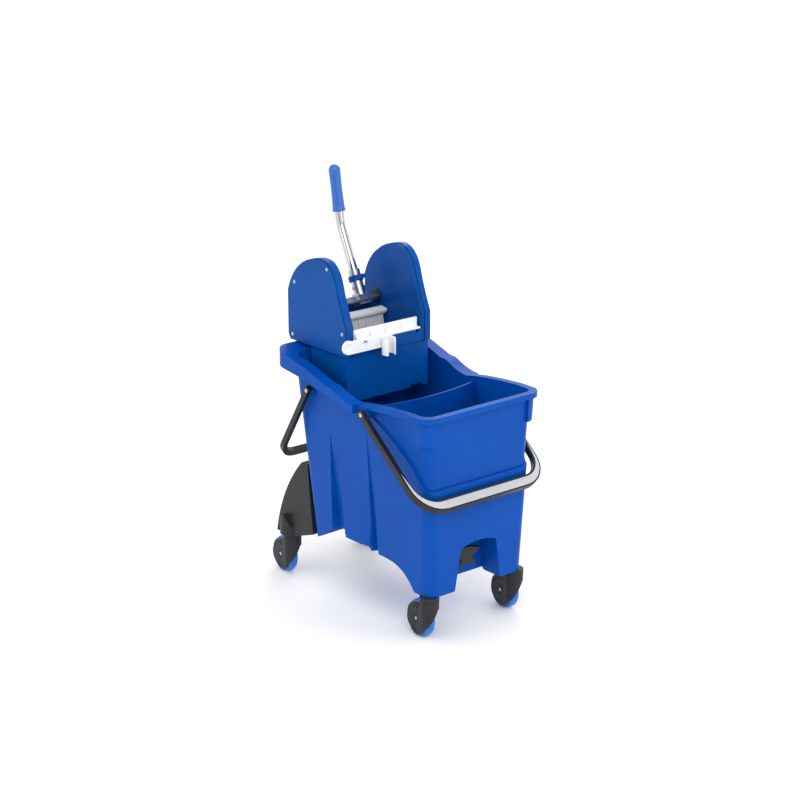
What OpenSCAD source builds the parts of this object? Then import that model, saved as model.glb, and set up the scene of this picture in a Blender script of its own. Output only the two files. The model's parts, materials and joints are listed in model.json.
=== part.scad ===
// Mop bucket on four swivel casters, with two chambers, two bails, a drain tap and a press wringer
// worked by a lever. Millimetres, +Z up, origin on the floor under the middle of the whole object.
// Front is -Y, where the rounded front chamber is; the wringer hangs over the rear chamber.

/* [Bucket] */
// Half width of the body at its foot
foot_half_w = 131; // [128:1:134]
// Half width of the body at the level of its highest rim
top_half_w = 156; // [153:1:157]
// Wall thickness of the bucket
wall = 4; // [3:0.5:5]
// Height of the front rim
front_rim_z = 497; // [490:1:500]
// Height of the rear rim at its back corners
rear_rim_z = 546; // [540:1:547]
// Height of the rim where front and rear rims meet
saddle_z = 481; // [478:1:484]

/* [Casters] */
// Wheel radius
wheel_r = 40; // [38:0.5:41]
// Tyre width
tyre_w = 21; // [18:0.5:22]
// Distance from the swivel axis to the wheel axis
trail = 30; // [26:0.5:31]
// Angle of the trail from straight back, towards +X
trail_angle = 10; // [0:1:20]
// Half distance between left and right swivel axes
caster_x = 119; // [117:1:120]

/* [Bails] */
// Angle of the front bail below horizontal, at rest
front_bail_angle = 39.5; // [38:0.5:41]
// Angle of the rear bail below horizontal, at rest
rear_bail_angle = 58.7; // [56:0.5:60]

/* [Wringer] */
// Outer half width over the wringer covers
cover_x = 118; // [117:0.5:119]
// Clear half width between the inner side shells
throat_x = 95; // [94:0.5:96]
// Number of teeth on each drive gear
drive_teeth = 10; // [10:1:10]
// Number of teeth on each plate gear
plate_teeth = 20; // [20:1:20]

/* [Lever] */
// Angle of the lever socket behind upright, at rest
lever_tilt = 24.7; // [22:0.5:26]
// Lever position along X
lever_x = 50; // [45:1:55]
// Radius of the chromed rod
rod_r = 10; // [9:0.5:11]

/* [Hidden] */
$fn = 48;
slack = 0.3;

blue = "#1550b8";
wringer_blue = "#1a5fb0";
tyre_blue = "#1a7fd0";
dark = "#3c3e42";
black = "#232427";
pale = "#d8dadc";
white = "#f0f0ee";
steel = "#b9bcc0";

// Body: foot and top levels, and where the front and rear walls stand at each
foot_z = 90;
top_z = 560;
foot_front = -253.6;
top_front = -266.8;
foot_rear = 135;
top_rear = 182.7;
corner_r = 25;
floor_rear_z = 166;
floor_front_z = 156;
leg_z = 98;
divider_z = 475;
divider_side_y = -75;
divider_bow = 22;

// Casters
front_caster_y = -237;
rear_caster_y = 232.5;
collar_r = 21;
collar_low = 88.4;
head_top = 88;
head_low = 75;
stem_r = 5.5;
head_r = 20.5;
disc_r = 35.5;
axle_r = 4;
fork_in = tyre_w / 2 + 1.2;
fork_t = 3.2;
hub_r = 31;

// Bails: pivots as [y, z], distances measured from the pivot in the plane of the bail
front_pivot = [-82, 465];
rear_pivot = [110, 470];
front_bail_reach = 250;
rear_bail_reach = 203;
bail_in = 165;
bail_out = 176;
rear_bail_in = 158.5;
rear_bail_out = 169;
bail_band = 26;
bail_thick = 14;
grip_thick = 2;
pin_r = 5;

// Wringer
shaft_yz = [191, 617];
plate_pivot_yz = [164.5, 590.5];
shaft_r = 9;
stub_r = 6;
shell_t = 6;
cover_in = throat_x + shell_t + slack;
gear_x = cover_in + 1;
gear_w = 9;
drive_pitch_r = 12.5;
plate_pitch_r = 25;

// Drain
valve_x = -8;
valve_z = 158;
notch_back_y = -198;

// The whole object is centred front to back between the bail and the rear wheels
bail_front = front_pivot[0] - cos(front_bail_angle) * (front_bail_reach + bail_band / 2)
    - sin(front_bail_angle) * (bail_thick / 2 + grip_thick);
wheel_back = rear_caster_y + trail * cos(trail_angle) + wheel_r;
centre_y = -(bail_front + wheel_back) / 2;

// ---- outlines and helpers ----

function arc(cx, cy, r, a0, a1, n = 6) =
    [for (i = [0:n]) let (a = a0 + (a1 - a0) * i / n) [cx + r * cos(a), cy + r * sin(a)]];

function curve(a, b, c, n = 8) =
    [for (i = [0:n]) let (t = i / n) (1 - t) * (1 - t) * a + 2 * t * (1 - t) * b + t * t * c];

function round_rect(w, y0, y1, r) = concat(
    arc(w - r, y0 + r, r, -90, 0), arc(w - r, y1 - r, r, 0, 90),
    arc(-w + r, y1 - r, r, 90, 180), arc(-w + r, y0 + r, r, 180, 270));

function at_z(points, z) = [for (p = points) [p[0], p[1], z]];

function mix(z, lo, hi) = lo + (hi - lo) * (z - foot_z) / (top_z - foot_z);

// Outline of the body at one level, drawn in by a distance
function body_outline(z, inset = 0) = at_z(round_rect(mix(z, foot_half_w, top_half_w) - inset,
    mix(z, foot_front, top_front) + inset, mix(z, foot_rear, top_rear) - inset, corner_r - inset / 2), z);

// A closed solid through rings of equal length, each ring counter-clockwise from above
module loft(rings) {
    n = len(rings[0]);
    m = len(rings);
    points = [for (ring = rings) for (p = ring) p];
    sides = [for (k = [0:m - 2]) for (i = [0:n - 1]) let (a = k * n + i, b = k * n + (i + 1) % n)
        each [[a, a + n, b + n], [a, b + n, b]]];
    low = [for (i = [0:n - 1]) i];
    high = [for (i = [n - 1:-1:0]) (m - 1) * n + i];
    polyhedron(points = points, faces = concat([low, high], sides));
}

module in_frame() {
    translate([0, centre_y, 0]) children();
}

// A side outline of [y, z] points, extruded along X between two planes
module side_plate(points, x0, x1) {
    translate([x0, 0, 0]) rotate([90, 0, 90]) linear_extrude(x1 - x0) polygon(points);
}

module rod_x(yz, r, x0, x1) {
    translate([x0, yz[0], yz[1]]) rotate([0, 90, 0]) cylinder(r = r, h = x1 - x0);
}

module rod_y(x, z, r, y0, y1) {
    translate([x, y0, z]) rotate([-90, 0, 0]) cylinder(r = r, h = y1 - y0);
}

module both_sides() {
    children();
    mirror([1, 0, 0]) children();
}

// ---- bucket ----

// Height of the rim's top edge along the side, front to rear
front_rim_line = concat([[-300, front_rim_z], [-205, front_rim_z]],
    curve([-190, front_rim_z - 1], [-110, 492], [-54, saddle_z], 6));
rear_rim_line = concat([[-54, saddle_z - 1]], curve([-40, saddle_z], [-12, saddle_z + 4], [19, 500], 4),
    curve([38, 501], [80, 515], [106, 523], 4), [[160, 534], [216, rear_rim_z], [300, rear_rim_z]]);
rim_line = concat(front_rim_line, rear_rim_line);

module under_line(points, drop, depth, x0, x1) {
    n = len(points) - 1;
    side_plate(concat([for (p = points) [p[0], p[1] - drop]],
        [for (i = [n:-1:0]) [points[i][0], points[i][1] - drop - depth]]), x0, x1);
}

// Lower edge of the body seen from the side
under_body = concat([[-300, leg_z], [-204, leg_z]], curve([-200, 101], [-172, 146], [-120, 148], 6),
    [[-66, 150], [-54, 160], [74, 160], [86, 143], [121, 125], [300, 125], [300, 40], [-300, 40]]);

// Ledge line that climbs from the front round the side; the panel above it is set back
ledge_line = concat([[-300, 333], [-243, 336]], curve([-240, 341], [-212, 398], [-90, 457], 6));

notch_outline = concat([[-66, 80], [-50, 182]], curve([-48, 190], [0, 208], [48, 190], 8), [[50, 182], [66, 80]]);

// Flutes: a section at the foot as [x, y], open outwards, that runs out through the wall higher up
module flute(points, shift, z1) {
    loft([at_z(points, foot_z - 5), at_z([for (p = points) p + shift], z1)]);
}

function flute_one(g) = [[-200, 9 - g], [-141, 9 - g], [-106 + g, 42 - g], [-106 + g, 64 + g],
    [-139, 73 + g], [-200, 73 + g]];
function flute_two(g) = [[-200, -91.5 - g], [-131, -91.5 - g], [-117 + g, -84 - g], [-117 + g, -72 + g],
    [-137, -67 + g], [-200, -67 + g]];

module flutes(g) {
    both_sides() {
        flute(flute_one(g), [-41, -7], 388);
        flute(flute_two(g), [-31, 4], 416);
    }
}

// The middle column between the flutes stands out from the tapered side
module columns() {
    both_sides() translate([0, 0, 161]) linear_extrude(240)
        polygon([[-120, 8], [-145, 8], [-145, -41], [-137.5, -66], [-120, -66]]);
}

module notch(g) {
    translate([0, notch_back_y + g, 0]) rotate([90, 0, 0]) linear_extrude(120)
        polygon([for (p = notch_outline) [p[0] + sign(p[0]) * g, p[1] + (p[1] > 100 ? g : 0)]]);
}

module divider_band(front_y, back_y, x) {
    y = divider_side_y;
    r = (x * x + divider_bow * divider_bow) / (2 * divider_bow);
    half = asin(x / r);
    translate([0, y - divider_bow + r, 0]) linear_extrude(divider_z)
        polygon(concat(arc(0, 0, r - front_y, -90 - half, -90 + half, 12),
            arc(0, 0, r - back_y, -90 + half, -90 - half, 12)));
}

// Everything in front of the divider, to part the two chambers
module front_side() {
    x = 200;
    y = divider_side_y;
    r = (150 * 150 + divider_bow * divider_bow) / (2 * divider_bow);
    half = asin(x / r);
    linear_extrude(700) polygon(concat(
        [for (p = arc(0, y - divider_bow + r, r, -90 - half, -90 + half, 16)) p],
        [[x, -400], [-x, -400]]));
}

front_rim_w = 161.7;
rear_rim_w = 175;
front_rim_y = -274;
rear_rim_y = 216;
rim_split_y = -54;
rear_skirt_line = [[300, 509], [rear_rim_y, 509], [125, 498], [rim_split_y, saddle_z - 20]];

// The open mouth of the bucket, which the rim flanges leave free
module mouth() {
    loft([body_outline(foot_z, wall + 6), body_outline(430, wall + 5), body_outline(600, wall)]);
}

// A flange on top and a thin skirt round its outer edge, before the mouth is cut out
module rim(w, y0, y1, r, skirt_t) {
    intersection() {
        linear_extrude(700) polygon(round_rect(w, y0, y1, r));
        under_line(rim_line, 0, 3.5, -200, 200);
    }
    difference() {
        linear_extrude(700) polygon(round_rect(w, y0, y1, r));
        translate([0, 0, -1]) linear_extrude(702)
            polygon(round_rect(w - skirt_t, y0 + skirt_t, y1 - skirt_t, r - skirt_t));
    }
}

module front_rim() {
    intersection() {
        rim(front_rim_w, front_rim_y, 30, 32, 3);
        under_line(rim_line, 0, 12, -200, 200);
        translate([-200, -300, 0]) cube([400, 300 + rim_split_y + 1, 700]);
    }
}

module rear_rim() {
    intersection() {
        rim(rear_rim_w, -130, rear_rim_y, 34, 3);
        side_plate(concat(rear_rim_line, rear_skirt_line), -200, 200);
        translate([-200, rim_split_y, 0]) cube([400, 300, 700]);
    }
    // step between the two rims
    both_sides() intersection() {
        translate([-rear_rim_w, rim_split_y, saddle_z - 20]) cube([rear_rim_w - 148, 3, 30]);
        side_plate(concat(rim_line, [[300, 300], [-300, 300]]), -200, 200);
    }
}

module bucket_outer() {
    difference() {
        intersection() {
            union() {
                loft([body_outline(foot_z), body_outline(top_z)]);
                columns();
            }
            side_plate(concat(rim_line, [[300, 40], [-300, 40]]), -200, 200);
        }
        // set-back front panel
        difference() {
            intersection() {
                side_plate(concat(ledge_line, [[-90, 600], [-300, 600]]), -200, 200);
                translate([-200, -300, 0]) cube([400, 212, 700]);
            }
            loft([body_outline(foot_z, 6), body_outline(430, 5), body_outline(top_z, 0)]);
        }
        side_plate(under_body, -200, 200);
        flutes(0);
        notch(0);
    }
}

module bucket_cavities() {
    intersection() {
        difference() {
            mouth();
            flutes(wall);
            notch(wall);
            translate([-200, -300, 0]) cube([400, 600, floor_front_z]);
            difference() {
                translate([-200, -300, 0]) cube([400, 600, floor_rear_z]);
                front_side();
            }
            intersection() {
                divider_band(-wall / 2, wall / 2, 150);
                translate([-200, -300, 0]) cube([400, 600, divider_z]);
            }
        }
        translate([-200, -300, 0]) cube([400, 600, 800]);
    }
}

module bucket_shell() {
    color(blue) in_frame() difference() {
        union() {
            difference() {
                bucket_outer();
                bucket_cavities();
                // open underside between the corner legs
                translate([-104, -186, 0]) cube([208, 312, 143]);
            }
            difference() {
                union() {
                    front_rim();
                    rear_rim();
                }
                mouth();
            }
            // corner pads under the front rim
            both_sides() intersection() {
                loft([body_outline(foot_z, -2), body_outline(top_z, -3)]);
                difference() {
                    translate([-170, -290, 433]) cube([45, 65, 52]);
                    loft([body_outline(foot_z, wall + 2), body_outline(top_z, wall)]);
                }
            }
            // bosses of the bail pivots
            both_sides() {
                rod_x(front_pivot, 10, -bail_in + 1, -148);
                rod_x(rear_pivot, 11, -rear_bail_in + 1, -146);
            }
        }
        both_sides() {
            rod_x(front_pivot, pin_r, -bail_out, -152.5);
            rod_x(rear_pivot, pin_r, -bail_out, -151);
            translate([-caster_x, front_caster_y, 80]) cylinder(r = 9, h = 50);
        }
        rod_y(valve_x, valve_z, 12, notch_back_y - 20, notch_back_y + 20);
    }
}

// ---- rear caster brackets ----

module bracket(s) {
    color(dark) in_frame() mirror([s > 0 ? 1 : 0, 0, 0]) difference() {
        union() {
            side_plate(concat([[139, 124], [155.2, 284], [174, 284]],
                curve([178, 281], [250, 205], [270, leg_z], 10), [[212, leg_z], [196, 104]]),
                -133, -113);
            intersection() {
                translate([-caster_x, rear_caster_y, collar_low]) cylinder(r = 27, h = 60);
                side_plate([[203, leg_z], [206, 112], [230, 150], [258, 130], [262, leg_z]], -160, -80);
            }
            translate([-caster_x, rear_caster_y, collar_low]) cylinder(r = collar_r, h = leg_z - collar_low + 2);
        }
        translate([-caster_x, rear_caster_y, 60]) cylinder(r = stem_r + 0.1, h = 72);
    }
}

module bracket_left() {
    bracket(-1);
}

module bracket_right() {
    bracket(1);
}

module caster_sockets() {
    color(dark) in_frame() both_sides() translate([-caster_x, front_caster_y, 0]) difference() {
        union() {
            translate([0, 0, collar_low]) cylinder(r = collar_r, h = leg_z - 0.2 - collar_low);
            translate([0, 0, leg_z - 1]) cylinder(r = 8.8, h = 38);
        }
        translate([0, 0, 60]) cylinder(r = stem_r + 0.1, h = 72);
    }
}

module bail_pins() {
    color(steel) in_frame() both_sides() {
        rod_x(front_pivot, pin_r, -bail_out + 0.5, -153);
        rod_x(rear_pivot, pin_r, -rear_bail_out + 0.2, -151.5);
    }
}

// ---- drain ----

module drain_valve() {
    color(black) in_frame() difference() {
        union() {
            rod_y(valve_x, valve_z, 17, notch_back_y - 13, notch_back_y - 2.2);
            rod_y(valve_x, valve_z, 11.6, notch_back_y - 3, notch_back_y + 8);
        }
        rod_y(valve_x, valve_z, 4.1, notch_back_y - 20, notch_back_y + 3);
    }
}

module drain_seal() {
    color(black) in_frame() difference() {
        rod_y(valve_x, valve_z, 15, notch_back_y - 2.1, notch_back_y - 0.1);
        rod_y(valve_x, valve_z, 11.8, notch_back_y - 3, notch_back_y + 1);
    }
}

module drain_tap() {
    front = notch_back_y - 30;
    color(black) in_frame() {
        rod_y(valve_x, valve_z, 4, notch_back_y - 22, notch_back_y + 1);
        rod_y(valve_x, valve_z, 14, front, notch_back_y - 13.4);
        translate([valve_x, notch_back_y - 20, valve_z]) rotate([90, 0, 0]) linear_extrude(12) {
            polygon(concat([[-32, 4], [-26, 14]], curve([-20, 17], [0, 22], [20, 15], 6), [[40, 8], [20, -4], [-20, -6]]));
            polygon(concat([[-12, -4]], curve([-20, -12], [-26, -20], [-28, -28], 5), [[-20, -29]],
                curve([-20, -26], [0, -14], [14, -22], 6), [[22, -28], [26, -20], [12, -2]]));
        }
    }
}

// ---- casters: every piece is drawn at its swivel axis, then placed ----

module at_caster(x, y) {
    in_frame() translate([x, y, 0]) rotate([0, 0, -trail_angle]) children();
}

module caster_stem() {
    color(steel) union() {
        translate([0, 0, head_low - 2]) cylinder(r = stem_r, h = 57);
    }
}

// One-sided fork: a head over the wheel, a disc beside it and a ridge that runs down the front
module caster_yoke() {
    outer_x = fork_in + fork_t;
    color(dark) difference() {
        union() {
            intersection() {
                translate([0, 0, 30]) cylinder(r = head_r, h = head_top - 30);
                rotate([90, 0, 0]) translate([0, 0, -40]) linear_extrude(80)
                    polygon([[-30, 100], [-30, 32], [-14, 32], [11, 70], [30, 72], [30, 100]]);
            }
            rod_x([trail, wheel_r], disc_r, -outer_x, -fork_in);
        }
        translate([0, 0, 20]) cylinder(r = stem_r + 0.05, h = 80);
        rod_x([trail, wheel_r], wheel_r + 1.2, -fork_in, 40);
        rod_x([trail, wheel_r], axle_r, -30, 30);
        // slot near the top of the disc
        side_plate([[20, 65.5], [34, 66.5], [34, 69.5], [20, 68]], -outer_x - 1, -outer_x + 1);
    }
}

module caster_axle() {
    color(steel) rod_x([trail, wheel_r], axle_r, -fork_in - fork_t - 0.6, tyre_w / 2 + 2);
}

module caster_hub() {
    w = tyre_w / 2 - 0.6;
    color(dark) translate([0, trail, wheel_r]) rotate([0, 90, 0]) rotate_extrude()
        polygon([[axle_r + 0.05, -w - 1], [10, -w - 1], [11, -w + 2], [22, -w + 2], [24, -w], [hub_r, -w],
            [hub_r, w], [24, w], [22, w - 2], [11, w - 2], [10, w + 1], [axle_r + 0.05, w + 1]]);
}

module caster_tyre() {
    w = tyre_w / 2;
    color(tyre_blue) translate([0, trail, wheel_r]) rotate([0, 90, 0]) rotate_extrude()
        polygon(concat([[hub_r + 0.02, -w + 1], [wheel_r - 6, -w]],
            arc(wheel_r - 6, -w + 6, 6, -60, 0, 4), arc(wheel_r - 6, w - 6, 6, 0, 60, 4),
            [[wheel_r - 6, w], [hub_r + 0.02, w - 1]]));
}

module stem_front_left() { at_caster(-caster_x, front_caster_y) caster_stem(); }
module yoke_front_left() { at_caster(-caster_x, front_caster_y) caster_yoke(); }
module axle_front_left() { at_caster(-caster_x, front_caster_y) caster_axle(); }
module hub_front_left() { at_caster(-caster_x, front_caster_y) caster_hub(); }
module tyre_front_left() { at_caster(-caster_x, front_caster_y) caster_tyre(); }
module stem_front_right() { at_caster(caster_x, front_caster_y) caster_stem(); }
module yoke_front_right() { at_caster(caster_x, front_caster_y) caster_yoke(); }
module axle_front_right() { at_caster(caster_x, front_caster_y) caster_axle(); }
module hub_front_right() { at_caster(caster_x, front_caster_y) caster_hub(); }
module tyre_front_right() { at_caster(caster_x, front_caster_y) caster_tyre(); }
module stem_rear_left() { at_caster(-caster_x, rear_caster_y) caster_stem(); }
module yoke_rear_left() { at_caster(-caster_x, rear_caster_y) caster_yoke(); }
module axle_rear_left() { at_caster(-caster_x, rear_caster_y) caster_axle(); }
module hub_rear_left() { at_caster(-caster_x, rear_caster_y) caster_hub(); }
module tyre_rear_left() { at_caster(-caster_x, rear_caster_y) caster_tyre(); }
module stem_rear_right() { at_caster(caster_x, rear_caster_y) caster_stem(); }
module yoke_rear_right() { at_caster(caster_x, rear_caster_y) caster_yoke(); }
module axle_rear_right() { at_caster(caster_x, rear_caster_y) caster_axle(); }
module hub_rear_right() { at_caster(caster_x, rear_caster_y) caster_hub(); }
module tyre_rear_right() { at_caster(caster_x, rear_caster_y) caster_tyre(); }

// ---- bails ----

// U outline in the bail's plane: x across, second value the distance from the pivot line
function bail_outline(x_in, x_out, reach, band, r_in, r_out) = concat(
    [[-x_out, -9]], arc(-x_out + r_out, reach + band / 2 - r_out, r_out, 180, 90, 8),
    arc(x_out - r_out, reach + band / 2 - r_out, r_out, 90, 0, 8), [[x_out, -9], [x_in, -9]],
    arc(x_in - r_in, reach - band / 2 - r_in, r_in, 0, 90, 8),
    arc(-x_in + r_in, reach - band / 2 - r_in, r_in, 90, 180, 8), [[-x_in, -9]]);

// Places a drawing made in [x, distance, height above the bail's plane]
module in_bail_plane(pivot, angle, forward) {
    translate([0, pivot[0], pivot[1]]) rotate([forward > 0 ? 180 + angle : -angle, 0, 0]) children();
}

module front_bail() {
    color(black) in_frame() difference() {
        in_bail_plane(front_pivot, front_bail_angle, 1) mirror([0, 0, 1]) translate([0, 0, -bail_thick / 2])
            linear_extrude(bail_thick)
                polygon(bail_outline(bail_in, bail_out, front_bail_reach, bail_band, 48, 66));
        both_sides() rod_x(front_pivot, pin_r + 0.05, -bail_out - 5, -bail_in + 5);
    }
}

module front_bail_grip() {
    reach = front_bail_reach;
    color(pale) in_frame() in_bail_plane(front_pivot, front_bail_angle, 1) mirror([0, 0, 1])
        translate([0, 0, bail_thick / 2]) linear_extrude(grip_thick) polygon(concat(
            [[-bail_out + 4, reach - 92]], arc(-bail_out + 67, reach + 10 - 63, 63, 180, 90, 8),
            arc(bail_out - 67, reach + 10 - 63, 63, 90, 0, 8), [[bail_out - 4, reach - 92]],
            arc(bail_in - 48.5, reach - 11 - 48, 51, 0, 90, 8),
            arc(-bail_in + 48.5, reach - 11 - 48, 51, 90, 180, 8)));
}

module rear_bail() {
    color(black) in_frame() difference() {
        in_bail_plane(rear_pivot, rear_bail_angle, -1) translate([0, 0, -6]) linear_extrude(12)
            polygon(bail_outline(rear_bail_in, rear_bail_out, rear_bail_reach, 16, 34, 46));
        both_sides() rod_x(rear_pivot, pin_r + 0.05, -rear_bail_out - 5, -rear_bail_in + 5);
    }
}

// ---- wringer ----

cover_outline = concat([[36, 548], [232, 548], [238, 560]], curve([238, 660], [214, 735], [130, 747], 10),
    curve([122, 748], [92, 749], [75, 716], 7), curve([69, 700], [60, 664], [36, 610], 5));

function shrink(points, c, k) = [for (p = points) c + (p - c) * k];

cover_centre = [137, 640];

module wringer_shell() {
    color(wringer_blue) in_frame() difference() {
        union() {
            side_plate(shrink(cover_outline, cover_centre, 0.975), -throat_x - shell_t, -throat_x);
            side_plate([[45, 447], [160, 447], [164, 552], [45, 552]], -throat_x - shell_t, -throat_x);
            side_plate([[45, 447], [160, 447], [164, 545], [45, 545]], -112, -throat_x - shell_t);
        }
        rod_x(shaft_yz, shaft_r + 3.05, -130, -60);
        rod_x(plate_pivot_yz, stub_r + 0.08, -130, -60);
    }
}

module wringer_shell_left() {
    wringer_shell();
}

module wringer_shell_right() {
    mirror([1, 0, 0]) wringer_shell();
}

screw_places = [[213, 680], [100, 729], [50, 598], [222, 562]];

module wringer_cover() {
    color(wringer_blue) in_frame() difference() {
        union() {
            side_plate(cover_outline, -cover_x + 3, -cover_in);
            side_plate(shrink(cover_outline, cover_centre, 0.975), -cover_x, -cover_x + 3);
        }
        difference() {
            side_plate(shrink(cover_outline, cover_centre, 0.93), -cover_x + 3.5, -cover_in + 1);
            for (p = screw_places) rod_x(p, 7, -cover_x, -cover_in + 1);
        }
        for (p = screw_places) {
            rod_x(p, 2.1, -cover_x - 1, -cover_in + 1);
            rod_x(p, 4.5, -cover_x - 1, -cover_x + 2);
        }
    }
}

module wringer_cover_left() {
    wringer_cover();
}

module wringer_cover_right() {
    mirror([1, 0, 0]) wringer_cover();
}

module cover_screws() {
    color(steel) in_frame() both_sides() for (p = screw_places) difference() {
        union() {
            rod_x(p, 2, -cover_x + 1, -cover_in - 0.2);
            rod_x(p, 4.2, -cover_x + 0.4, -cover_x + 1.9);
        }
        rod_x(p, 1.4, -cover_x - 1, -cover_x + 1.2);
    }
}

module wringer_front_wall() {
    lip_x = throat_x - 0.4;
    color(wringer_blue) in_frame() difference() {
        union() {
            translate([-112, 40, 447]) cube([224, 4.6, 99.5]);
            translate([-lip_x, 40, 447]) cube([2 * lip_x, 4.6, 113]);
            translate([-lip_x, 36, 550]) cube([2 * lip_x, 9, 26]);
        }
        rod_y(78, 578, 9, 30, 50);
        translate([62, 30, 440]) cube([34, 20, 14]);
    }
}

module wringer_rear_wall() {
    color(wringer_blue) in_frame() side_plate([[154, 447], [158, 447], [168, 520], [174, 551], [228, 551],
        [231, 610], [227, 610], [224, 555], [171, 555], [164, 520]], -throat_x + 0.2, throat_x - 0.2);
}

module sieve_floor() {
    color(wringer_blue) in_frame() difference() {
        side_plate([[45, 449], [154, 461], [154, 465], [45, 453]], -throat_x + 0.2, throat_x - 0.2);
        for (x = [-80:20:80]) for (y = [60:22:142]) translate([x, y, 430]) cylinder(r = 5, h = 50);
    }
}

module shaft_bush() {
    color(black) in_frame() difference() {
        union() {
            rod_x(shaft_yz, shaft_r + 3, -throat_x - shell_t, -throat_x + 4);
            rod_x(shaft_yz, 15, -throat_x + 0.1, -throat_x + 4);
        }
        rod_x(shaft_yz, shaft_r + 0.05, -130, -60);
    }
}

module shaft_bush_left() {
    shaft_bush();
}

module shaft_bush_right() {
    mirror([1, 0, 0]) shaft_bush();
}

module front_press_plate() {
    color(white) in_frame() {
        translate([-90, 50, 560]) cube([180, 5, 40]);
        translate([-90, 38, 576.2]) cube([180, 12.5, 4]);
        for (x = [-84, -42, 0, 42]) side_plate([[50.5, 580], [50.5, 597], [40, 580]], x, x + 4);
        translate([-90, 45, 470]) cube([180, 5, 92]);
        for (x = [-80:20:80]) translate([x - 3, 49, 475]) cube([6, 5, 86]);
    }
}

// Bracket in front of the left cover, with a split ring that takes a mop handle
module handle_clip() {
    ring_x = -25;
    ring_y = 7;
    color(white) in_frame() {
        difference() {
            union() {
                rod_y(-122, 576, 15, 20, 26);
                translate([-122, 20, 561]) cube([118, 6, 27]);
                translate([-80, 25, 566]) cube([74, 10.7, 9]);
            }
            rod_y(-77, 577, 7, 10, 27);
            rod_y(-124, 576, 9, 19, 23);
        }
        translate([ring_x, ring_y, 547]) linear_extrude(37)
            polygon(concat(arc(0, 0, 15, -50, 230, 16), arc(0, 0, 12, 230, -50, 16)));
    }
}

// ---- lever ----

module cross_shaft() {
    color(steel) in_frame() rod_x(shaft_yz, shaft_r, -gear_x - gear_w, gear_x + gear_w);
}

// Straight-sided teeth with wide backlash; turn is the angle of the first tooth
module gear(teeth, pitch_r, bore_r, turn, x0) {
    root_r = pitch_r - 2.6;
    tip_r = pitch_r + 1.6;
    step = 360 / teeth;
    foot = 2.1 / root_r * 180 / PI;
    tip = 0.75 / tip_r * 180 / PI;
    translate([x0, 0, 0]) rotate([90, 0, 90]) linear_extrude(gear_w) difference() {
        polygon([for (i = [0:teeth - 1]) let (a = turn + i * step) each [
            root_r * [cos(a - foot), sin(a - foot)], tip_r * [cos(a - tip), sin(a - tip)],
            tip_r * [cos(a + tip), sin(a + tip)], root_r * [cos(a + foot), sin(a + foot)]]]);
        circle(r = bore_r);
    }
}

mesh_angle = atan2(plate_pivot_yz[1] - shaft_yz[1], plate_pivot_yz[0] - shaft_yz[0]);

module drive_gear() {
    color(dark) in_frame() translate([0, shaft_yz[0], shaft_yz[1]])
        gear(drive_teeth, drive_pitch_r, shaft_r * 0.6, mesh_angle, -gear_x - gear_w);
}

module plate_gear() {
    half_step = 180 / plate_teeth;
    color(dark) in_frame() translate([0, plate_pivot_yz[0], plate_pivot_yz[1]])
        gear(plate_teeth, plate_pitch_r, stub_r, mesh_angle + 180 + half_step, -gear_x - gear_w);
}

module drive_gear_left() {
    drive_gear();
}

module drive_gear_right() {
    mirror([1, 0, 0]) drive_gear();
}

module plate_gear_left() {
    plate_gear();
}

module plate_gear_right() {
    mirror([1, 0, 0]) plate_gear();
}

// Draws along the lever socket: +Z runs up the socket from the shaft axis
module on_socket() {
    in_frame() translate([lever_x, shaft_yz[0], shaft_yz[1]]) rotate([-lever_tilt, 0, 0]) children();
}

socket_r = 13.2;
socket_len = 66;

module lever_socket() {
    color(steel) difference() {
        union() {
            on_socket() translate([0, 0, 8]) cylinder(r = socket_r, h = socket_len - 8);
            in_frame() rod_x(shaft_yz, 15, lever_x - 16, lever_x + 16);
        }
        in_frame() rod_x(shaft_yz, shaft_r, lever_x - 20, lever_x + 20);
        on_socket() translate([0, 0, 18]) cylinder(r = rod_r, h = socket_len);
        on_socket() translate([-20, 0, 26]) rotate([0, 90, 0]) cylinder(r = 3, h = 40);
    }
}

module lock_pin() {
    color(steel) on_socket() translate([-17, 0, 26]) rotate([0, 90, 0]) cylinder(r = 3, h = 34);
}

module lever_collar() {
    color(wringer_blue) on_socket() difference() {
        union() {
            translate([0, 0, 40]) cylinder(r = socket_r + 3.4, h = 13);
            translate([-7, -27, 42]) cube([14, 12, 9]);
        }
        translate([0, 0, 30]) cylinder(r = socket_r, h = 40);
    }
}

// The rod leaves the socket, bends more upright and ends inside the grip; places are [y, z]
grip_tilt = 9.7;
grip_low = [267.5, 800];
grip_len = 103.5;
bend_r = 120;
straight_from = 20;
straight_to = 156.3;

function leaning(angle) = [sin(angle), cos(angle)];

bend_start = shaft_yz + straight_to * leaning(lever_tilt);
bend_centre = bend_start + bend_r * [-cos(lever_tilt), sin(lever_tilt)];
bend_end = bend_centre + bend_r * [cos(grip_tilt), -sin(grip_tilt)];

// A ring of points round the rod at one place on its path, square to the path
function rod_ring(place, angle) = [for (i = [0:35]) let (a = i * 10)
    [lever_x + rod_r * cos(a), place[0] + centre_y + rod_r * sin(a) * cos(angle), place[1] - rod_r * sin(a) * sin(angle)]];

module lever_rod() {
    steps = 5;
    bend = [for (i = [0:steps]) let (a = lever_tilt + (grip_tilt - lever_tilt) * i / steps)
        rod_ring(bend_centre + bend_r * [cos(a), -sin(a)], a)];
    color(pale) difference() {
        loft(concat([rod_ring(shaft_yz + straight_from * leaning(lever_tilt), lever_tilt)], bend,
            [rod_ring(bend_end + 75 * leaning(grip_tilt), grip_tilt)]));
        on_socket() translate([-20, 0, 26]) rotate([0, 90, 0]) cylinder(r = 3, h = 40);
    }
}

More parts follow.
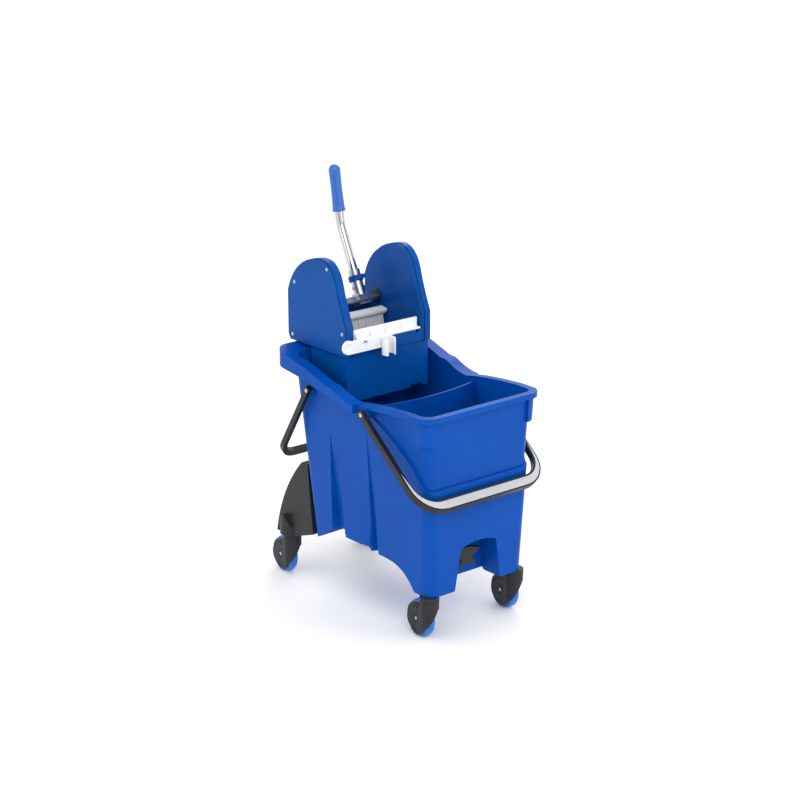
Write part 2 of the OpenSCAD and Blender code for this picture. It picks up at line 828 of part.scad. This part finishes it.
module lever_grip() {
    length = grip_len;
    bore = 58;
    color(tyre_blue) in_frame() translate([lever_x, grip_low[0], grip_low[1]]) rotate([-grip_tilt, 0, 0])
        rotate_extrude() polygon(concat([[rod_r, 0], [14, 0], [14.5, 3]],
            curve([13.4, 10], [11.6, 50], [13, length - 14], 8),
            arc(0, length - 13, 13, 5, 90, 8), [[0, bore], [rod_r, bore]]));
}

// ---- moving press plate ----

module rear_press_plate() {
    color(pale) in_frame() {
        side_plate([[166, 600], [171, 600], [171, 585], [153, 478], [148, 478], [166, 585]], -90, 90);
        for (x = [-80:20:80]) side_plate([[166.5, 584], [148.5, 478], [145, 481], [163, 584]], x - 3, x + 3);
        rod_x(plate_pivot_yz, 8, -90, 90);
        rod_x(plate_pivot_yz, stub_r, -gear_x - gear_w, gear_x + gear_w);
    }
}

bucket_shell();
bracket_left();
bracket_right();
caster_sockets();
bail_pins();
drain_valve();
drain_seal();
stem_front_left();
yoke_front_left();
axle_front_left();
hub_front_left();
tyre_front_left();
stem_front_right();
yoke_front_right();
axle_front_right();
hub_front_right();
tyre_front_right();
stem_rear_left();
yoke_rear_left();
axle_rear_left();
hub_rear_left();
tyre_rear_left();
stem_rear_right();
yoke_rear_right();
axle_rear_right();
hub_rear_right();
tyre_rear_right();
front_bail();
front_bail_grip();
rear_bail();
drain_tap();
wringer_shell_left();
wringer_shell_right();
wringer_cover_left();
wringer_cover_right();
cover_screws();
wringer_front_wall();
wringer_rear_wall();
sieve_floor();
shaft_bush_left();
shaft_bush_right();
front_press_plate();
handle_clip();
cross_shaft();
drive_gear_left();
drive_gear_right();
lever_socket();
lock_pin();
lever_collar();
lever_rod();
lever_grip();
rear_press_plate();
plate_gear_left();
plate_gear_right();
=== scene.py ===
"""Looks of a mop bucket on casters with a press wringer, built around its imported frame."""

import json
import math

import bmesh
import bpy
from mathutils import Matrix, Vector


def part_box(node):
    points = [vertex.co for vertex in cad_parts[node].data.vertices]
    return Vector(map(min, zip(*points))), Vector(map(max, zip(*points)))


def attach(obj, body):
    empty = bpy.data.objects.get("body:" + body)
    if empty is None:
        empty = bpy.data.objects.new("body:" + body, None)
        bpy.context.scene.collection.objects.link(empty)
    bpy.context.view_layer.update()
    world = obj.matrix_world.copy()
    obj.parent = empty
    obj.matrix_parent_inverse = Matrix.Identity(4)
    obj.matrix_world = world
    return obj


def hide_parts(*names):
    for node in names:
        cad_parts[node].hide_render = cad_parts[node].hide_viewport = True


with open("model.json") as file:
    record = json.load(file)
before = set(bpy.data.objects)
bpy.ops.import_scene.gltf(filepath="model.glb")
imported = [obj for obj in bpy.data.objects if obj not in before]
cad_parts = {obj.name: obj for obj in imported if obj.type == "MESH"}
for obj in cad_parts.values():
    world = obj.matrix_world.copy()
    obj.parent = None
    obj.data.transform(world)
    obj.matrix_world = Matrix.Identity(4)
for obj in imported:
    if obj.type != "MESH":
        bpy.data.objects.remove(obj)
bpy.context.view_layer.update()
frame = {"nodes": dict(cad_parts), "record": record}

bl_info = {
    "name": "Mop bucket with wringer",
    "version": (1, 0, 0),
    "blender": (4, 5, 0),
    "location": "View3D > Sidebar > Mop bucket",
    "description": "Builds the moulded, rolled and chromed pieces of a mop bucket with a press wringer",
    "category": "Add Mesh",
}

MM = 0.001
WELD = 0.004 * MM  # vertices closer than this are one
FLAT_ANGLE = math.radians(0.6)  # faces this close to flat are joined up
SHARP_ANGLE = math.radians(32)  # edges sharper than this are rounded
RING_TURNS = 72
CORNERS = ("front_left", "front_right", "rear_left", "rear_right")
SIDES = ("left", "right")


# ---- settings that a user would change ----


class MopBucketColours(bpy.types.PropertyGroup):
    bucket: bpy.props.StringProperty(
        name="Bucket", description="sRGB hex of the bucket's plastic", default="#00479F"
    )
    wringer: bpy.props.StringProperty(
        name="Wringer", description="sRGB hex of the wringer's plastic", default="#004792"
    )
    tyre: bpy.props.StringProperty(
        name="Tyres", description="sRGB hex of the soft tyre rings", default="#0069BE"
    )
    grip: bpy.props.StringProperty(
        name="Hand grip", description="sRGB hex of the grip on the lever", default="#0058AE"
    )
    caster: bpy.props.StringProperty(
        name="Casters", description="sRGB hex of forks, hubs and brackets", default="#232426"
    )


class MopBucketSizes(bpy.types.PropertyGroup):
    edge: bpy.props.FloatProperty(
        name="Moulded edge", description="Radius of the bucket's edges", default=1.6 * MM, unit="LENGTH"
    )
    cover_edge: bpy.props.FloatProperty(
        name="Cover edge", description="Radius round the wringer covers", default=4.0 * MM, unit="LENGTH"
    )
    metal_edge: bpy.props.FloatProperty(
        name="Metal edge", description="Radius broken on metal edges", default=0.5 * MM, unit="LENGTH"
    )
    grain: bpy.props.FloatProperty(
        name="Mould grain",
        description="Size of one grain of the mould's texture",
        default=1.6 * MM,
        unit="LENGTH",
    )


# ---- materials ----


def linear(text):
    """An sRGB hex value as the linear colour that shaders use, opaque."""
    values = [int(text[i : i + 2], 16) / 255 for i in (1, 3, 5)]
    return [v / 12.92 if v <= 0.04045 else ((v + 0.055) / 1.055) ** 2.4 for v in values] + [1.0]


def add(tree, kind, settings=None, links=None):
    """Adds one node, sets its sockets or attributes, and links its inputs."""
    made = tree.nodes.new(kind)
    for key, value in (settings or {}).items():
        if key in made.inputs:
            made.inputs[key].default_value = value
        else:
            setattr(made, key, value)
    for key, source in (links or {}).items():
        tree.links.new(source, made.inputs[key])
    return made


def new_material(name, settings):
    """A material with one Principled shader and its object coordinates."""
    made = bpy.data.materials.new(name)
    made.use_nodes = True
    tree = made.node_tree
    tree.nodes.clear()
    shader = add(tree, "ShaderNodeBsdfPrincipled", settings)
    add(tree, "ShaderNodeOutputMaterial", links={"Surface": shader.outputs["BSDF"]})
    place = add(tree, "ShaderNodeTexCoord").outputs["Object"]
    return made, tree, shader, place


def mottle(tree, shader, place, colour, light, dark, size, rough, rough_spread):
    """Slow changes of colour and gloss over a moulded or painted surface."""
    grain = {"Scale": 1 / size, "Detail": 4.0, "Roughness": 0.6}
    cloud = add(tree, "ShaderNodeTexNoise", grain, {"Vector": place})
    ramp = add(tree, "ShaderNodeValToRGB", links={"Fac": cloud.outputs["Fac"]})
    base = linear(colour)
    low, high = ramp.color_ramp.elements
    low.position, high.position = 0.3, 0.7
    low.color = [c * dark for c in base[:3]] + [1]
    high.color = [min(1, c * light) for c in base[:3]] + [1]
    tree.links.new(ramp.outputs["Color"], shader.inputs["Base Color"])
    gloss = add(
        tree,
        "ShaderNodeMapRange",
        {"To Min": rough - rough_spread, "To Max": rough + rough_spread},
        {"Value": cloud.outputs["Fac"]},
    )
    tree.links.new(gloss.outputs["Result"], shader.inputs["Roughness"])


def grained(tree, shader, place, size, height, strength):
    """The fine leathery grain that a spark-eroded mould leaves."""
    cells = add(tree, "ShaderNodeTexVoronoi", {"Scale": 1 / size, "feature": "SMOOTH_F1"}, {"Vector": place})
    waves = add(tree, "ShaderNodeTexNoise", {"Scale": 1 / (size * 30), "Detail": 2.0}, {"Vector": place})
    both = add(tree, "ShaderNodeMath", {"operation": "MULTIPLY_ADD"}, {0: waves.outputs["Fac"]})
    both.inputs[1].default_value = 3.0
    tree.links.new(cells.outputs["Distance"], both.inputs[2])
    bump = add(
        tree, "ShaderNodeBump", {"Strength": strength, "Distance": height}, {"Height": both.outputs["Value"]}
    )
    tree.links.new(bump.outputs["Normal"], shader.inputs["Normal"])


def bucket_polypropylene(colours, sizes):
    # Injection-moulded polypropylene with a fine grain: a broad soft sheen over a deep, even blue
    made, tree, shader, place = new_material("bucket_polypropylene", {"IOR": 1.49, "Specular IOR Level": 0.1})
    mottle(tree, shader, place, colours.bucket, 1.10, 0.93, 0.12, 0.36, 0.05)
    # the real grain is under 0.3 mm; it is drawn coarser so that it still breaks up the highlights
    grained(tree, shader, place, sizes.grain, 0.10 * MM, 0.30)
    return made


def wringer_polypropylene(colours, sizes):
    # The same plastic from a polished mould: smoother, with a clearer reflection along its edges
    made, tree, shader, place = new_material(
        "wringer_polypropylene", {"IOR": 1.49, "Specular IOR Level": 0.12}
    )
    mottle(tree, shader, place, colours.wringer, 1.08, 0.95, 0.10, 0.30, 0.05)
    grained(tree, shader, place, sizes.grain, 0.06 * MM, 0.22)
    return made


def glass_filled_nylon(colours, sizes):
    # Glass-filled nylon: dull dark grey with pale fibre flecks just under the skin
    made, tree, shader, place = new_material("glass_filled_nylon", {"IOR": 1.53, "Specular IOR Level": 0.25})
    mottle(tree, shader, place, colours.caster, 1.3, 0.8, 0.03, 0.48, 0.08)
    grained(tree, shader, place, 1.1 * MM, 0.12 * MM, 0.45)
    return made


def black_nylon(colours, sizes):
    # Tough unfilled nylon: near black, satin, worn a little brighter where hands hold it
    made, tree, shader, place = new_material("black_nylon", {"IOR": 1.53, "Specular IOR Level": 0.3})
    mottle(tree, shader, place, "#1B1C20", 1.4, 0.75, 0.05, 0.38, 0.07)
    grained(tree, shader, place, 1.2 * MM, 0.08 * MM, 0.35)
    return made


def soft_touch_grey(colours, sizes):
    # Thermoplastic elastomer of the bail's inlay: matt light grey with a soft edge to its shine
    made, tree, shader, place = new_material("soft_touch_elastomer", {"IOR": 1.5, "Sheen Weight": 0.12})
    mottle(tree, shader, place, "#B9BBBE", 1.05, 0.93, 0.04, 0.50, 0.07)
    grained(tree, shader, place, 1.0 * MM, 0.10 * MM, 0.4)
    return made


def white_acetal(colours, sizes):
    # Moulded acetal: slightly warm white, dense and waxy, so light sinks in a little
    made, tree, shader, place = new_material(
        "white_acetal", {"IOR": 1.48, "Subsurface Weight": 0.08, "Subsurface Scale": 2 * MM}
    )
    mottle(tree, shader, place, "#EEF0F1", 1.0, 0.95, 0.05, 0.34, 0.05)
    grained(tree, shader, place, 1.5 * MM, 0.05 * MM, 0.25)
    return made


def press_plate_painted_shade_grey(colours, sizes):
    # Pressed polypropylene plate of the same white plastic, coloured a cool light grey as painted shade for
    # the shadow it sits in; satin
    made, tree, shader, place = new_material("press_plate_painted_shade", {"IOR": 1.49})
    mottle(tree, shader, place, "#D2D3D3", 1.03, 0.95, 0.06, 0.40, 0.06)
    grained(tree, shader, place, 1.5 * MM, 0.06 * MM, 0.3)
    return made


def tyre_rubber(colours, sizes):
    # Soft thermoplastic rubber tread: bright blue, matt, scuffed lighter where it rolls
    made, tree, shader, place = new_material("tyre_thermoplastic_rubber", {"IOR": 1.5, "Sheen Weight": 0.08})
    mottle(tree, shader, place, colours.tyre, 1.12, 0.88, 0.012, 0.52, 0.10)
    grained(tree, shader, place, 0.9 * MM, 0.10 * MM, 0.5)
    return made


def grip_vinyl(colours, sizes):
    # Dip-moulded vinyl: even blue with a wet-looking skin
    made, tree, shader, place = new_material(
        "grip_vinyl", {"IOR": 1.53, "Coat Weight": 0.3, "Coat Roughness": 0.2}
    )
    mottle(tree, shader, place, colours.grip, 1.08, 0.92, 0.03, 0.34, 0.06)
    grained(tree, shader, place, 1.2 * MM, 0.06 * MM, 0.3)
    return made


def zinc_plated_steel(colours, sizes):
    # Zinc-plated steel: satin grey metal with faint drawn lines round the bar
    made, tree, shader, place = new_material("zinc_plated_steel", {"Metallic": 1.0})
    mottle(tree, shader, place, "#B9BCC1", 1.1, 0.85, 0.02, 0.30, 0.08)
    drawn = {"Scale": 1 / (30 * MM), "Distortion": 3.0}
    lines = add(tree, "ShaderNodeTexWave", drawn, {"Vector": place})
    relief = {"Strength": 0.12, "Distance": 0.05 * MM}
    bump = add(tree, "ShaderNodeBump", relief, {"Height": lines.outputs["Fac"]})
    tree.links.new(bump.outputs["Normal"], shader.inputs["Normal"])
    return made


def chromed_steel(colours, sizes):
    # Bright chrome on polished tube: dark and light bands run along it, with a breath of haze
    made, tree, shader, place = new_material("chromed_steel", {"Metallic": 1.0})
    mottle(tree, shader, place, "#C9CBCE", 1.04, 0.96, 0.08, 0.07, 0.02)
    return made


def seal_rubber(colours, sizes):
    # Nitrile sealing ring: dead black and matt
    made, tree, shader, place = new_material("seal_nitrile", {"IOR": 1.52})
    mottle(tree, shader, place, "#151515", 1.3, 0.8, 0.01, 0.62, 0.06)
    grained(tree, shader, place, 0.8 * MM, 0.08 * MM, 0.4)
    return made


def finish_of(maker):
    """The material of one maker function, made the first time it is asked for."""
    stored = bpy.context.scene.get("mop_" + maker.__name__)
    if stored is None:
        scene = bpy.context.scene
        made = maker(scene.mop_colours, scene.mop_sizes)
        scene["mop_" + maker.__name__] = made.name
        return made
    return bpy.data.materials[stored]


# ---- mesh helpers ----


def body_of(node):
    for body, nodes in frame["record"]["behaviour"]["bodies"].items():
        if node in nodes:
            return body
    raise ValueError(f"{node} is on no body")


def link(name, mesh):
    made = bpy.data.objects.new(name, mesh)
    bpy.context.scene.collection.objects.link(made)
    return made


def shade(piece, maker):
    piece.data.materials.clear()
    piece.data.materials.append(finish_of(maker))


def soften(piece, edge, segments):
    """Rounds a piece's sharp edges and evens out its shading."""
    bevel = piece.modifiers.new("rounded_edges", "BEVEL")
    bevel.width = edge
    bevel.segments = segments
    bevel.limit_method = "ANGLE"
    bevel.angle_limit = SHARP_ANGLE
    bevel.use_clamp_overlap = True
    bevel.miter_outer = "MITER_ARC"
    even = piece.modifiers.new("even_shading", "WEIGHTED_NORMAL")
    even.keep_sharp = True


def finished_from(node, maker, edge, segments=2):
    """A clean copy of a frame node, its flat faces joined up and its edges rounded."""
    source = frame["nodes"][node]
    cage = bmesh.new()
    cage.from_mesh(source.data)
    bmesh.ops.remove_doubles(cage, verts=cage.verts, dist=WELD)
    bmesh.ops.dissolve_limit(
        cage,
        angle_limit=FLAT_ANGLE,
        verts=cage.verts,
        edges=cage.edges,
        use_dissolve_boundaries=False,
    )
    bmesh.ops.recalc_face_normals(cage, faces=cage.faces)
    for face in cage.faces:
        face.smooth = True
    for line in cage.edges:
        line.smooth = len(line.link_faces) != 2 or line.calc_face_angle(0) < SHARP_ANGLE
    mesh = bpy.data.meshes.new(node + "_moulding")
    cage.to_mesh(mesh)
    cage.free()
    piece = link(node + "_moulding", mesh)
    shade(piece, maker)
    soften(piece, edge, segments)
    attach(piece, body_of(node))
    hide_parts(node)
    return piece


def ring_about_x(name, section, centre):
    """A closed ring about +X from the (distance along the axis, radius) corners of its section."""
    cage = bmesh.new()
    rings = []
    for along, radius in section:
        ring = []
        for k in range(RING_TURNS):
            a = 2 * math.pi * k / RING_TURNS
            ring.append(cage.verts.new(centre + Vector((along, radius * math.cos(a), radius * math.sin(a)))))
        rings.append(ring)
    for low, high in zip(rings, rings[1:] + rings[:1]):
        for k in range(RING_TURNS):
            n = (k + 1) % RING_TURNS
            cage.faces.new((low[k], low[n], high[n], high[k]))
    bmesh.ops.recalc_face_normals(cage, faces=cage.faces)
    mesh = bpy.data.meshes.new(name)
    cage.to_mesh(mesh)
    cage.free()
    return link(name, mesh)


# ---- operators ----


class MOPBUCKET_OT_stage(bpy.types.Operator):
    """Camera, soft studio lights and a plain pale floor"""

    bl_idname = "mopbucket.stage"
    bl_label = "Stage"

    camera_distance = 4.6586
    camera_azimuth = -39.96
    camera_elevation = 17.95
    lens_mm = 98.0
    aim_height = 0.4417
    aim_y = -0.0057

    def execute(self, context):
        scene = context.scene
        azimuth = math.radians(self.camera_azimuth)
        elevation = math.radians(self.camera_elevation)
        back = Vector(
            (
                math.sin(azimuth) * math.cos(elevation),
                -math.cos(azimuth) * math.cos(elevation),
                math.sin(elevation),
            )
        )
        lens = bpy.data.cameras.new("studio_camera")
        lens.lens = self.lens_mm
        lens.sensor_width = 36
        camera = bpy.data.objects.new("studio_camera", lens)
        camera.location = Vector((0, self.aim_y, self.aim_height)) + back * self.camera_distance
        camera.rotation_mode = "QUATERNION"
        camera.rotation_quaternion = (-back).to_track_quat("-Z", "Y")
        scene.collection.objects.link(camera)
        scene.camera = camera
        scene.view_settings.view_transform = "Standard"

        self.light("key_softbox", (-1.1, -2.3, 2.6), 1.7, 30, scene)
        self.light("fill_softbox", (-3.0, 0.6, 1.9), 2.0, 12, scene)
        self.light("rim_softbox", (1.9, 1.6, 2.4), 1.4, 16, scene)
        self.light("front_strip", (1.6, -3.0, 1.0), 1.2, 12, scene)
        for name, place in (("left_flag", (-1.5, -1.0, 0.9)), ("right_flag", (1.15, -1.2, 0.9))):
            self.flag(name, place)
        world = bpy.data.worlds.new("studio_air")
        world.use_nodes = True
        air = world.node_tree.nodes["Background"]
        air.inputs["Color"].default_value = (1, 1, 1, 1)
        air.inputs["Strength"].default_value = 1.08
        scene.world = world

        reach = 12.0
        cage = bmesh.new()
        bmesh.ops.create_grid(cage, x_segments=8, y_segments=8, size=reach)
        mesh = bpy.data.meshes.new("studio_floor")
        cage.to_mesh(mesh)
        cage.free()
        floor = link("studio_floor", mesh)
        made, tree, shader, place = new_material("floor_matt_paint", {"IOR": 1.45})
        # Matt white paint: catches soft shadows and shows no reflection
        mottle(tree, shader, place, "#FBFBFB", 1.0, 0.99, 0.4, 0.9, 0.05)
        floor.data.materials.append(made)
        return {"FINISHED"}

    def flag(self, name, place):
        """A black card that only mirror-like metal sees, so that chrome gets its dark bands"""
        cage = bmesh.new()
        bmesh.ops.create_grid(cage, x_segments=1, y_segments=1, size=0.5)
        mesh = bpy.data.meshes.new(name)
        cage.to_mesh(mesh)
        cage.free()
        card = link(name, mesh)
        card.scale = (0.55, 1.8, 1)
        card.location = place
        card.rotation_mode = "QUATERNION"
        card.rotation_quaternion = Vector((-place[0], -place[1], 0)).to_track_quat("Z", "Y")
        made, tree, shader, coords = new_material(name + "_black_flock", {"Specular IOR Level": 0.0})
        # Black flocked card: takes up nearly all the light that falls on it
        mottle(tree, shader, coords, "#050505", 1.2, 0.8, 0.2, 0.95, 0.03)
        mesh.materials.append(made)
        card.visible_camera = False
        card.visible_diffuse = False
        card.visible_shadow = False

    def light(self, name, place, size, power, scene):
        lamp = bpy.data.lights.new(name, "AREA")
        lamp.size = size
        lamp.energy = power
        made = bpy.data.objects.new(name, lamp)
        made.location = place
        aim = Vector((0, 0, 0.4)) - Vector(place)
        made.rotation_mode = "QUATERNION"
        made.rotation_quaternion = aim.to_track_quat("-Z", "Y")
        scene.collection.objects.link(made)


class MOPBUCKET_OT_bucket(bpy.types.Operator):
    """The moulded two-chamber bucket"""

    bl_idname = "mopbucket.bucket"
    bl_label = "Bucket"

    def execute(self, context):
        finished_from("bucket_shell", bucket_polypropylene, context.scene.mop_sizes.edge, 3)
        return {"FINISHED"}


class MOPBUCKET_OT_brackets(bpy.types.Operator):
    """Rear caster brackets and the front caster sockets"""

    bl_idname = "mopbucket.brackets"
    bl_label = "Caster brackets"

    def execute(self, context):
        for side in SIDES:
            finished_from("bracket_" + side, glass_filled_nylon, 2.2 * MM, 3)
        finished_from("caster_sockets", glass_filled_nylon, 0.8 * MM, 2)
        finished_from("bail_pins", zinc_plated_steel, context.scene.mop_sizes.metal_edge, 2)
        return {"FINISHED"}


class MOPBUCKET_OT_casters(bpy.types.Operator):
    """Four swivel casters with blue tyres"""

    bl_idname = "mopbucket.casters"
    bl_label = "Casters"

    def execute(self, context):
        metal_edge = context.scene.mop_sizes.metal_edge
        for corner in CORNERS:
            finished_from("yoke_" + corner, glass_filled_nylon, 1.5 * MM, 3)
            finished_from("stem_" + corner, zinc_plated_steel, metal_edge, 2)
            finished_from("axle_" + corner, zinc_plated_steel, metal_edge, 2)
            finished_from("hub_" + corner, glass_filled_nylon, 0.7 * MM, 2)
            finished_from("tyre_" + corner, tyre_rubber, 0.8 * MM, 2)
            self.fork_rings(corner)
        return {"FINISHED"}


    def fork_rings(self, corner):
        """Two raised rings moulded round the axle on the fork's outer disc"""
        axle_low, axle_high = (Vector(c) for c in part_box("axle_" + corner))
        centre = (axle_low + axle_high) / 2
        yoke = frame["nodes"]["yoke_" + corner]
        points = [yoke.matrix_world @ v.co for v in yoke.data.vertices]
        centre.x = min(p.x for p in points if (p.yz - centre.yz).length < 10 * MM)
        for name, radius, width in (("outer", 29.0 * MM, 1.1 * MM), ("inner", 9.5 * MM, 0.9 * MM)):
            section = [
                (0.6 * MM, radius - width),
                (-0.4 * MM, radius - width * 0.6),
                (-0.4 * MM, radius + width * 0.6),
                (0.6 * MM, radius + width),
            ]
            ring = ring_about_x(f"fork_ring_{name}_{corner}", section, centre)
            shade(ring, glass_filled_nylon)
            soften(ring, 0.2 * MM, 2)
            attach(ring, body_of("yoke_" + corner))


class MOPBUCKET_OT_bails(bpy.types.Operator):
    """Front bail with its inlay, and the rear bail"""

    bl_idname = "mopbucket.bails"
    bl_label = "Bails"

    def execute(self, context):
        finished_from("front_bail", black_nylon, 3.0 * MM, 4)
        finished_from("front_bail_grip", soft_touch_grey, 1.2 * MM, 3)
        finished_from("rear_bail", black_nylon, 2.8 * MM, 4)
        return {"FINISHED"}


class MOPBUCKET_OT_drain(bpy.types.Operator):
    """Drain valve, seal and winged tap"""

    bl_idname = "mopbucket.drain"
    bl_label = "Drain"

    def execute(self, context):
        finished_from("drain_valve", black_nylon, 1.0 * MM, 2)
        finished_from("drain_seal", seal_rubber, 0.6 * MM, 2)
        finished_from("drain_tap", black_nylon, 1.6 * MM, 3)
        return {"FINISHED"}


class MOPBUCKET_OT_wringer(bpy.types.Operator):
    """Side shells, covers, walls and sieve of the wringer"""

    bl_idname = "mopbucket.wringer"
    bl_label = "Wringer"

    def execute(self, context):
        sizes = context.scene.mop_sizes
        for side in SIDES:
            finished_from("wringer_cover_" + side, wringer_polypropylene, sizes.cover_edge, 4)
            finished_from("wringer_shell_" + side, wringer_polypropylene, 1.5 * MM, 3)
            finished_from("shaft_bush_" + side, black_nylon, 0.8 * MM, 2)
        finished_from("cover_screws", zinc_plated_steel, 0.3 * MM, 2)
        for node in ("wringer_front_wall", "wringer_rear_wall", "sieve_floor"):
            finished_from(node, wringer_polypropylene, 1.2 * MM, 3)
        return {"FINISHED"}


class MOPBUCKET_OT_press(bpy.types.Operator):
    """Fixed and moving press plates, the gears that drive them and the handle clip"""

    bl_idname = "mopbucket.press"
    bl_label = "Press plates"

    def execute(self, context):
        finished_from("front_press_plate", white_acetal, 0.9 * MM, 3)
        finished_from("handle_clip", white_acetal, 1.0 * MM, 3)
        # the rear plate's grey colour is painted shade on white plastic
        finished_from("rear_press_plate", press_plate_painted_shade_grey, 1.0 * MM, 3)
        for side in SIDES:
            finished_from("plate_gear_" + side, glass_filled_nylon, 0.3 * MM, 2)
            finished_from("drive_gear_" + side, glass_filled_nylon, 0.3 * MM, 2)
        return {"FINISHED"}


class MOPBUCKET_OT_lever(bpy.types.Operator):
    """Cross shaft, lever socket, chromed rod and hand grip"""

    bl_idname = "mopbucket.lever"
    bl_label = "Lever"

    def execute(self, context):
        metal_edge = context.scene.mop_sizes.metal_edge
        finished_from("cross_shaft", zinc_plated_steel, metal_edge, 2)
        finished_from("lever_socket", zinc_plated_steel, 0.9 * MM, 3)
        finished_from("lock_pin", zinc_plated_steel, metal_edge, 2)
        finished_from("lever_collar", wringer_polypropylene, 1.2 * MM, 3)
        finished_from("lever_rod", chromed_steel, metal_edge, 2)
        finished_from("lever_grip", grip_vinyl, 0.8 * MM, 3)
        return {"FINISHED"}


class MOPBUCKET_PT_panel(bpy.types.Panel):
    """Lists the pieces of the mop bucket"""

    bl_idname = "MOPBUCKET_PT_panel"
    bl_label = "Mop bucket"
    bl_space_type = "VIEW_3D"
    bl_region_type = "UI"
    bl_category = "Mop bucket"

    def draw(self, context):
        layout = self.layout
        for group in (context.scene.mop_colours, context.scene.mop_sizes):
            for key in group.__annotations__:
                layout.prop(group, key)
        for piece in OPERATORS:
            layout.operator(piece.bl_idname)


OPERATORS = (
    MOPBUCKET_OT_stage,
    MOPBUCKET_OT_bucket,
    MOPBUCKET_OT_brackets,
    MOPBUCKET_OT_casters,
    MOPBUCKET_OT_bails,
    MOPBUCKET_OT_drain,
    MOPBUCKET_OT_wringer,
    MOPBUCKET_OT_press,
    MOPBUCKET_OT_lever,
)
GROUPS = (MopBucketColours, MopBucketSizes)


def register():
    for kind in (*GROUPS, *OPERATORS, MOPBUCKET_PT_panel):
        bpy.utils.register_class(kind)
    bpy.types.Scene.mop_colours = bpy.props.PointerProperty(type=MopBucketColours)
    bpy.types.Scene.mop_sizes = bpy.props.PointerProperty(type=MopBucketSizes)


def unregister():
    del bpy.types.Scene.mop_sizes
    del bpy.types.Scene.mop_colours
    for kind in reversed((*GROUPS, *OPERATORS, MOPBUCKET_PT_panel)):
        bpy.utils.unregister_class(kind)


def main():
    register()
    for piece in OPERATORS:
        group, call = piece.bl_idname.split(".")
        getattr(getattr(bpy.ops, group), call)()


if __name__ == "__main__":
    main()
